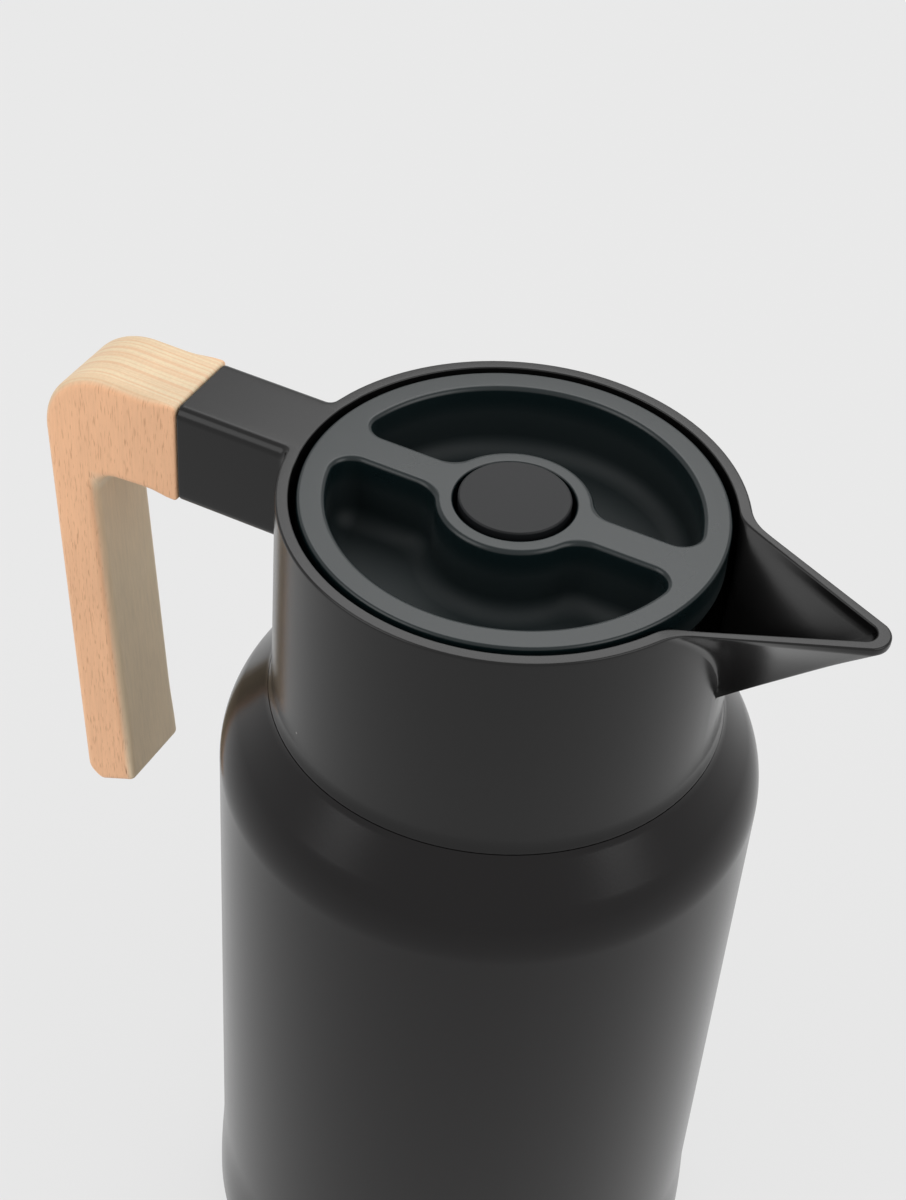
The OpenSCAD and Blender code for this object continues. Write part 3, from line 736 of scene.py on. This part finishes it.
class JUG_OT_button(bpy.types.Operator):
    """Models the round button"""
    bl_idname = "jug.button"
    bl_label = "Button"

    def execute(self, context):
        size = context.scene.jug_lid
        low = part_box("button_cap")[0]
        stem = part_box("valve_stem")[1]
        centre, bore, dish, pusher = 0.8 * MM, 4.05 * MM, 7 * MM, 8.5 * MM
        skirt_wall, top_wall = 1.6 * MM, 2.2 * MM
        top, edge, skirt = size.button_top, size.button_edge, size.button_skirt
        inside, under = size.button - skirt_wall, top - top_wall
        socket = stem.z + 0.05 * MM
        profile = [(centre, top - 0.12 * MM), (dish, top - 0.09 * MM),
                   *arc(size.button - edge, top - edge, edge, 90, 0, 6), (size.button, skirt),
                   (inside, skirt), (inside, under), (pusher, under), (pusher, low.z),
                   (bore, low.z), (bore, socket), (centre, socket)]
        obj = lathe("button", profile, closed=False)
        smooth(obj)
        dress(obj, "plunger", ["button_cap"], plastic("button"))
        return {"FINISHED"}


# Grip


# corner beyond the joint's edge, drop of the crook, and inset of the flat sides
JOINT_TURN, CROOK_DROP, SIDE_INSET = 0.4 * MM, MM, 0.3 * MM
# the heel's edge rounding as a share of its radius
HEEL_SOFT = 0.75


def grip_outline(size):
    """Side outline of the grip as (distance from the axis, height), edge rounding."""
    inner = size.reach - size.leg
    foot_out = size.reach - size.lean
    foot_in = foot_out - size.foot
    lean = math.degrees(math.atan2(size.lean, size.drop - size.outer_bend))
    sole = math.degrees(math.atan2(size.foot_rise, size.foot))
    end, edge, bend, r = size.end_edge, size.edge, size.outer_bend, size.foot_round
    soft = HEEL_SOFT * r / 2
    turn = end + JOINT_TURN
    top = arc(size.start + turn, -turn, turn, 180, 90, 5)
    outer = arc(size.reach - bend, -bend, bend, 90, -lean, 28)
    foot = arc(foot_out - r, -size.drop + r, r, -lean, -90 - sole, 12)
    heel = arc(foot_in + r / 2, -size.drop + size.foot_rise + r / 2, r / 2,
               -90 - sole, -180, 10)
    crook = arc(inner - size.crook, -size.height - size.crook - CROOK_DROP, size.crook,
                0, 90, 16)
    foot_end = arc(size.start + turn, -size.height + turn, turn, 270, 180, 5)

    def even(points, value):
        return [(p, value) for p in points]

    def growing(points, least, share):
        return [(p, least + (edge - least) * eased(share(i)))
                for i, p in enumerate(points, 1)]

    return (even(top, end)
            + growing(between(top[-1], outer[0], 8), end, lambda i: i / 4)
            + even(outer + between(outer[-1], foot[0], 20), edge)
            + growing(foot, soft, lambda i: (13 - i) / 6)
            + even(heel, soft)
            + growing(between(heel[-1], crook[0], 20), soft, lambda i: i / 4)
            + even(crook, edge)
            + growing(between(crook[-1], foot_end[0], 8), end, lambda i: (8 - i) / 4)
            + even(foot_end + between(foot_end[-1], top[0], 6), end))


def frame_sides(obj, half):
    """Insets the grip's two flat sides a little."""
    activate(obj)
    mesh = edit_mesh("FACE", "DESELECT")
    for face in mesh.faces:
        if all(abs(abs(v.co.y) - half) < CLOSE for v in face.verts):
            face.select_set(True)
    bmesh.update_edit_mesh(obj.data)
    bpy.ops.mesh.inset(thickness=SIDE_INSET)
    leave_edit()


class JUG_OT_grip(bpy.types.Operator):
    """Models the wooden grip"""
    bl_idname = "jug.grip"
    bl_label = "Wooden grip"

    def execute(self, context):
        size = context.scene.jug_grip
        nodes = grip_outline(size)
        outline = [(-x, RIM + z) for (x, z), _ in nodes]
        normals = outward(outline)
        half = size.width / 2
        sides = ([-half + t * MM for t in LEVELS]
                 + [half - t * MM for t in reversed(LEVELS)])
        rings = []
        for y in sides:
            ring = []
            for (x, z), (nx, nz), (_, edge) in zip(outline, normals, nodes):
                inset = rounding(half - abs(y), edge)
                ring.append(Vector((x - nx * inset, y, z - nz * inset)))
            rings.append(ring)
        obj = loft("wooden_grip", rings)
        frame_sides(obj, half)
        smooth(obj)
        dress(obj, "vessel", ["handle_grip"], wood())
        return {"FINISHED"}


# Materials


def feed(node, inputs):
    """Sets a node's inputs to values, or links them to sockets."""
    for key, value in inputs.items():
        if isinstance(value, bpy.types.NodeSocket):
            node.id_data.links.new(value, node.inputs[key])
        else:
            node.inputs[key].default_value = value


def nodes_of(tree):
    """Shorthand to add a node with its settings and inputs to a tree."""
    def add(kind, inputs=None, **settings):
        node = tree.nodes.new(kind)
        for key, value in settings.items():
            setattr(node, key, value)
        feed(node, inputs or {})
        return node
    return add


def maths(add, operation, a, b):
    """The result of a calculation with two values."""
    return add("ShaderNodeMath", {0: a, 1: b}, operation=operation).outputs[0]


def times(add, a, b):
    """The product of two values."""
    return maths(add, "MULTIPLY", a, b)


def ranged(add, value, low, high, start=0.0, end=1.0):
    """A value taken over from one range to another."""
    return add("ShaderNodeMapRange", {"Value": value, "From Min": low, "From Max": high,
                                      "To Min": start, "To Max": end}).outputs["Result"]


def mixed(add, factor, a, b):
    """Two colours mixed by a factor."""
    return add("ShaderNodeMix", {"Factor": factor, "A": a, "B": b},
               data_type="RGBA").outputs["Result"]


def scaled(add, colour, factor):
    """A colour made lighter or darker by a factor."""
    return add("ShaderNodeVectorMath", {0: colour, "Scale": factor},
               operation="SCALE").outputs["Vector"]


def place(add):
    """Where a point lies on the object."""
    return add("ShaderNodeTexCoord").outputs["Object"]


def axes(add):
    """The three coordinates of that place."""
    return add("ShaderNodeSeparateXYZ", {"Vector": place(add)}).outputs


def noise(add, vector, detail, roughness=0.5, scale=1.0):
    """The level of a noise at a place."""
    return add("ShaderNodeTexNoise", {"Vector": vector, "Scale": scale, "Detail": detail,
                                      "Roughness": roughness}).outputs["Fac"]


def stretched(add, scale, detail, roughness=0.5):
    """The level of a noise that is drawn out along the object's axes."""
    drawn = add("ShaderNodeMapping", {"Vector": place(add), "Scale": scale})
    return noise(add, drawn.outputs["Vector"], detail, roughness)


def relief(add, height, strength, distance):
    """The surface's direction over a fine height."""
    return add("ShaderNodeBump", {"Strength": strength, "Distance": distance,
                                  "Height": height}).outputs["Normal"]


def group(name, inputs, outputs, build):
    """A shader node group with named sockets, built when it is first asked for."""
    if name in bpy.data.node_groups:
        return bpy.data.node_groups[name]
    tree = bpy.data.node_groups.new(name, "ShaderNodeTree")
    for way, labels in (("INPUT", inputs), ("OUTPUT", outputs)):
        for label in labels:
            kind = "NodeSocketColor" if label == "Color" else "NodeSocketFloat"
            tree.interface.new_socket(name=label, in_out=way, socket_type=kind)
    add = nodes_of(tree)
    feed(add("NodeGroupOutput"), build(add, add("NodeGroupInput").outputs))
    return tree


DUST = (0.3, 0.29, 0.28, 1)


def fine_texture():
    """Group: the fine grain of moulded plastic or powder coating."""
    def build(add, given):
        grain = noise(add, place(add), 3.0, 0.6, given["Grain size"])
        cloud = maths(add, "SUBTRACT", noise(add, place(add), 4.0, 0.55, 18.0), 0.5)
        tone = maths(add, "ADD", times(add, cloud, given["Cloud"]), 1.0)
        vary = times(add, cloud, given["Spread"])
        return {"Color": scaled(add, given["Color"], tone), "Height": grain,
                "Roughness": maths(add, "ADD", vary, given["Roughness"])}
    return group("Fine texture", ("Color", "Grain size", "Cloud", "Roughness", "Spread"),
                 ("Color", "Roughness", "Height"), build)


def dust_specks():
    """Group: a few pale specks of dust on a dark surface."""
    def build(add, given):
        cells = add("ShaderNodeTexVoronoi", {"Vector": place(add), "Scale": 110.0}).outputs
        dot = maths(add, "LESS_THAN", cells["Distance"], 0.028)
        chance = add("ShaderNodeSeparateColor", {"Color": cells["Color"]}).outputs["Red"]
        rare = maths(add, "LESS_THAN", chance, given["Amount"])
        mask = times(add, dot, rare)
        return {"Color": mixed(add, mask, given["Color"], DUST)}
    return group("Dust specks", ("Color", "Amount"), ("Color",), build)


def blank(name):
    """A new material with its Principled shader."""
    material = bpy.data.materials.new(name)
    material.use_nodes = True
    tree = material.node_tree
    return material, nodes_of(tree), tree.nodes["Principled BSDF"]


def finish():
    """The colour settings."""
    return bpy.context.scene.jug_finish


# colour setting: name, roughness and further values of each plastic, rubber or coating
PLASTICS = {
    "coat": ("Satin powder coat", 0.2,
             {"cloud": 0.15, "grain": 1800.0, "bump": 0.1, "specular": 0.26, "dust": 0.02}),
    "collar": ("Collar plastic", 0.22, {"bump": 0.07, "specular": 0.32, "dust": 0.01}),
    "lid": ("Lid plastic", 0.28, {"bump": 0.06, "specular": 0.41, "deep": RIM - 3 * MM}),
    "button": ("Button plastic", 0.42, {"spread": 0.03, "bump": 0.08, "specular": 0.22}),
    "inner": ("Inner plastic", 0.4, {}),
    "pad": ("Pad rubber", 0.7, {"bump": 0.3, "grain": 1500.0}),
    "silicone": ("Milky silicone", 0.5, {"spread": 0.04, "cloud": 0.05}),
}
# name: colour setting, roughness and stretch of the marks of each metal
METALS = {
    "Satin steel": ("steel", 0.28, (60, 60, 2200)),
    "Bright steel": ("steel", 0.2, (900, 900, 900)),
    "Turned brass": ("brass", 0.25, (1800, 60, 60)),
}
# how much duller a lid is below its edge, and over which depth it becomes so
DEEP_DULL, DEEP_FADE = 0.35, 4 * MM


def plastic(key):
    """A plastic, rubber or coating of the table, perhaps duller below a height."""
    name, roughness, values = PLASTICS[key]
    if name in bpy.data.materials:
        return bpy.data.materials[name]
    look = {"spread": 0.05, "cloud": 0.12, "grain": 2500.0, "bump": 0.12, "specular": 0.5,
            "dust": 0.0, "deep": None, **values}
    material, add, shader = blank(name)
    texture = add("ShaderNodeGroup", {
        "Color": (*getattr(finish(), key), 1), "Grain size": look["grain"],
        "Cloud": look["cloud"], "Roughness": roughness, "Spread": look["spread"],
    }, node_tree=fine_texture()).outputs
    paint, rough, deep = texture["Color"], texture["Roughness"], look["deep"]
    if look["dust"]:
        paint = add("ShaderNodeGroup", {"Amount": look["dust"], "Color": paint},
                    node_tree=dust_specks()).outputs["Color"]
    if deep:
        dull = ranged(add, axes(add)["Z"], deep - DEEP_FADE, deep, DEEP_DULL, 0.0)
        rough = maths(add, "ADD", rough, dull)
    feed(shader, {"Base Color": paint, "Roughness": rough,
                  "Normal": relief(add, texture["Height"], look["bump"], 0.0001),
                  "Specular IOR Level": look["specular"]})
    return material


def metal(name):
    """A brushed or turned metal of the table, its marks drawn out along an axis."""
    if name in bpy.data.materials:
        return bpy.data.materials[name]
    key, roughness, stretch = METALS[name]
    colour = getattr(finish(), key)
    material, add, shader = blank(name)
    marks = stretched(add, stretch, 5.0, 0.6)
    feed(shader, {
        "Base Color": mixed(add, marks, (*[c * 0.88 for c in colour], 1), (*colour, 1)),
        "Roughness": ranged(add, marks, 0.3, 0.7, roughness - 0.07, roughness + 0.09),
        "Normal": relief(add, marks, 0.15, 0.00005), "Metallic": 1.0})
    return material


# stripes to the metre, how far they sway, and the colour of the rays
STRIPES, SWAY, RAY = 900.0, 0.004, (0.4, 0.17, 0.08, 1)


def wood():
    """Oiled beech: rings seen as stripes on top, short rays on the sides."""
    name = "Oiled beech"
    if name in bpy.data.materials:
        return bpy.data.materials[name]
    material, add, shader = blank(name)
    grip = bpy.context.scene.jug_grip
    colours = {key: (*getattr(finish(), key), 1)
               for key in ("wood", "wood_light", "wood_top", "inner_wood_painted_light")}
    along, across, height = axes(add)[:3]

    # the two flat sides, and the rings' stripes on what lies between them
    half = grip.width / 2
    on_side = ranged(add, maths(add, "ABSOLUTE", across, 0.0), half - 0.0011, half - 0.0002)
    off_side = maths(add, "SUBTRACT", 1.0, on_side)
    sway = times(add, stretched(add, (9, 9, 9), 2.0), SWAY)
    rings = add("ShaderNodeTexNoise", {
        "W": times(add, maths(add, "ADD", across, sway), STRIPES),
        "Scale": 1.0, "Detail": 1.5, "Roughness": 0.5}, noise_dimensions="1D")
    stripes = mixed(add, ranged(add, rings.outputs["Fac"], 0.4, 0.58),
                    colours["wood_top"], colours["wood_light"])
    striped = times(add, off_side, ranged(add, height, 0.19, 0.222, 0.15, 1.0))
    base = mixed(add, striped, colours["wood"], stripes)

    # the long leg's inner face, up to the inner bend, painted in a paler, greyer wood:
    # painted light standing in for light that face does not get
    bend_z = RIM - grip.height
    slope = (grip.foot + grip.lean - grip.leg) / (grip.drop - grip.height)
    face = maths(add, "ADD", grip.leg - grip.reach,
                 times(add, maths(add, "SUBTRACT", bend_z, height), slope))
    inner = times(add, ranged(add, maths(add, "SUBTRACT", along, face), -0.0016, -0.0002),
                  ranged(add, height, bend_z - grip.crook, bend_z, 1.0, 0.0))
    # paints the paler, greyer inner-face colour over the wood as painted light
    base = mixed(add, inner, base, colours["inner_wood_painted_light"])

    # blotches, fibres and rays
    fibre = stretched(add, (1500, 1500, 90), 3.0, 0.6)
    blotch = stretched(add, (60, 60, 25), 2.0)
    tone = times(add, ranged(add, blotch, 0.3, 0.7, 0.95, 1.05),
                 ranged(add, fibre, 0.3, 0.7, 0.95, 1.05))
    rays = ranged(add, stretched(add, (3200, 400, 300), 1.0), 0.6, 0.72, 0.0, 0.5)
    feed(shader, {
        "Base Color": mixed(add, times(add, rays, on_side),
                            scaled(add, base, tone), RAY),
        "Normal": relief(add, fibre, 0.2, 0.00008), "Roughness": 0.5,
        "Specular IOR Level": 0.4})
    return material


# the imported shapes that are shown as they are
INNER_PIECES = {
    "Satin steel": ("inner_flask", "base_plate", "valve_stem"),
    "Bright steel": ("getter", "vacuum_seal", "grip_screws", "return_spring"),
    "Turned brass": ("grip_inserts",),
    "pad": ("base_pad",),
    "collar": ("arm_cover",),
    "inner": ("stopper_body", "spring_housing", "valve_disc", "latch_ring"),
    "silicone": ("collar_gasket", "stopper_seal", "housing_ring", "stem_wiper",
                 "valve_seal"),
}


class JUG_OT_inner_pieces(bpy.types.Operator):
    """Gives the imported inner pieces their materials"""
    bl_idname = "jug.inner_pieces"
    bl_label = "Inner pieces"

    def execute(self, context):
        for look, names in INNER_PIECES.items():
            material = metal(look) if look in METALS else plastic(look)
            for name in names:
                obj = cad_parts[name]
                obj.data.materials.clear()
                obj.data.materials.append(material)
        return {"FINISHED"}


# Stage


class JugStage(bpy.types.PropertyGroup):
    """Camera and light"""
    turn: angle("Turn", 24.3, "Turn about the jug")
    tilt: angle("Tilt", 41.47, "How far the camera looks down")
    roll: angle("Roll", 4.5, "Roll of the camera")
    lens: bpy.props.FloatProperty(
        name="Lens", description="Focal length in millimetres", default=67.48)
    place: bpy.props.FloatVectorProperty(
        name="Place", description="Camera from the rim's centre, unturned",
        default=(-0.01124, -0.36584, 0.29433), size=3, subtype="XYZ", unit="LENGTH")
    world: bpy.props.FloatProperty(
        name="Surroundings", description="Strength of the surroundings",
        default=0.75)


FLOOR_SIZE = 30
SENSOR_WIDTH = 36
CLIP_START = 0.01
# the point that the lamps look at, as a share of the rim's height
LAMP_TARGET = 0.6
# how much of the floor's own colour shows without light, and how faint its specks are
FLOOR_GLOW, FLOOR_SPECK = 0.88, 0.995
LAMPS = (
    # name, turn from the camera, height angle, distance, width, watts
    ("back softbox", 174, 56, 1.7, 1.2, 9.4),
    ("left softbox", -66, 36, 1.5, 1.1, 5.0),
    ("right softbox", 62, 36, 1.5, 1.1, 5.0),
)


def put(data, spot, turn):
    """Adds a camera or lamp to the scene at its spot, turned."""
    obj = bpy.data.objects.new(data.name, data)
    bpy.context.scene.collection.objects.link(obj)
    obj.location = spot
    obj.rotation_mode = "QUATERNION"
    obj.rotation_quaternion = turn
    return obj


class JUG_OT_stage(bpy.types.Operator):
    """Makes the floor, the light and the camera"""
    bl_idname = "jug.stage"
    bl_label = "Stage"

    def execute(self, context):
        stage = context.scene.jug_stage
        deselect()
        bpy.ops.mesh.primitive_plane_add(size=FLOOR_SIZE, location=(0, 0, 0))
        floor = bpy.context.object
        floor.name = "floor"
        floor.data.materials.append(floor_material())
        turn = Matrix.Rotation(stage.turn, 3, "Z")
        data = bpy.data.cameras.new("camera")
        data.sensor_width = SENSOR_WIDTH
        data.lens = stage.lens
        data.clip_start = CLIP_START
        look = (turn @ Matrix.Rotation(math.pi / 2 - stage.tilt, 3, "X")
                @ Matrix.Rotation(stage.roll, 3, "Z"))
        context.scene.camera = put(
            data, Vector((0, 0, RIM)) + turn @ Vector(stage.place), look.to_quaternion())
        target = Vector((0, 0, RIM * LAMP_TARGET))
        for name, side, height, distance, width, power in LAMPS:
            light = bpy.data.lights.new(name, "AREA")
            light.shape = "DISK"
            light.size = width
            light.energy = power
            around = stage.turn + math.radians(side)
            high = math.radians(height)
            away = Vector((math.sin(around) * math.cos(high),
                           -math.cos(around) * math.cos(high), math.sin(high)))
            put(light, target + away * distance, away.to_track_quat("Z", "Y"))
        make_world(stage.world)
        context.scene.view_settings.view_transform = "Standard"
        return {"FINISHED"}


def seen(add):
    """1 for rays that show the background: from the camera, by reflection or through."""
    path = add("ShaderNodeLightPath").outputs
    first = maths(add, "MAXIMUM", path["Is Camera Ray"], path["Is Glossy Ray"])
    return maths(add, "MAXIMUM", first, path["Is Transmission Ray"])


def floor_material():
    """Plain pale floor that shows its own colour and a soft shadow."""
    material, add, shader = blank("Pale floor")
    pale = finish().floor
    tone = mixed(add, noise(add, place(add), 2.0, scale=3.0),
                 (*[c * FLOOR_SPECK for c in pale], 1), (*pale, 1))
    feed(shader, {"Base Color": tone, "Roughness": 0.9, "Specular IOR Level": 0.1})
    plain = add("ShaderNodeEmission", {"Color": tone, "Strength": 1.0})
    share = times(add, seen(add), FLOOR_GLOW)
    mix = add("ShaderNodeMixShader", {0: share, 1: shader.outputs[0], 2: plain.outputs[0]})
    feed(material.node_tree.nodes["Material Output"], {"Surface": mix.outputs[0]})
    return material


def make_world(strength):
    """Plain surroundings: the background's own tone where seen, softer as light."""
    world = bpy.data.worlds.new("Studio")
    bpy.context.scene.world = world
    world.use_nodes = True
    add = nodes_of(world.node_tree)
    shown = seen(add)
    feed(world.node_tree.nodes["Background"], {
        "Color": mixed(add, shown, (1, 1, 1, 1), (*finish().floor, 1)),
        "Strength": ranged(add, shown, 0.0, 1.0, strength, 1.0)})


# Add-on


OPERATORS = (JUG_OT_stage, JUG_OT_casing, JUG_OT_collar, JUG_OT_lid, JUG_OT_button,
             JUG_OT_grip, JUG_OT_inner_pieces)
SETTINGS = {"jug_body": JugBodySizes, "jug_collar": JugCollarSizes, "jug_lid": JugLidSizes,
            "jug_grip": JugGripSizes, "jug_finish": JugFinish, "jug_stage": JugStage}


class JUG_PT_panel(bpy.types.Panel):
    """Lists the jug's pieces and settings"""
    bl_label = "Thermal jug"
    bl_idname = "JUG_PT_panel"
    bl_space_type = "VIEW_3D"
    bl_region_type = "UI"
    bl_category = "Jug"

    def draw(self, context):
        for operator in OPERATORS:
            self.layout.operator(operator.bl_idname)
        for name in SETTINGS:
            box = self.layout.box()
            settings = getattr(context.scene, name)
            box.label(text=settings.bl_rna.description)
            for key in settings.bl_rna.properties.keys():
                if key not in {"rna_type", "name"}:
                    box.prop(settings, key)


def register():
    for group_class in SETTINGS.values():
        bpy.utils.register_class(group_class)
    for name, group_class in SETTINGS.items():
        setattr(bpy.types.Scene, name, bpy.props.PointerProperty(type=group_class))
    for operator in OPERATORS:
        bpy.utils.register_class(operator)
    bpy.utils.register_class(JUG_PT_panel)


def unregister():
    bpy.utils.unregister_class(JUG_PT_panel)
    for operator in reversed(OPERATORS):
        bpy.utils.unregister_class(operator)
    for name in SETTINGS:
        delattr(bpy.types.Scene, name)
    for group_class in reversed(list(SETTINGS.values())):
        bpy.utils.unregister_class(group_class)


def main():
    register()
    bpy.ops.jug.stage()
    bpy.ops.jug.casing()
    bpy.ops.jug.collar()
    bpy.ops.jug.lid()
    bpy.ops.jug.button()
    bpy.ops.jug.grip()
    bpy.ops.jug.inner_pieces()
    deselect()


if __name__ == "__main__":
    main()
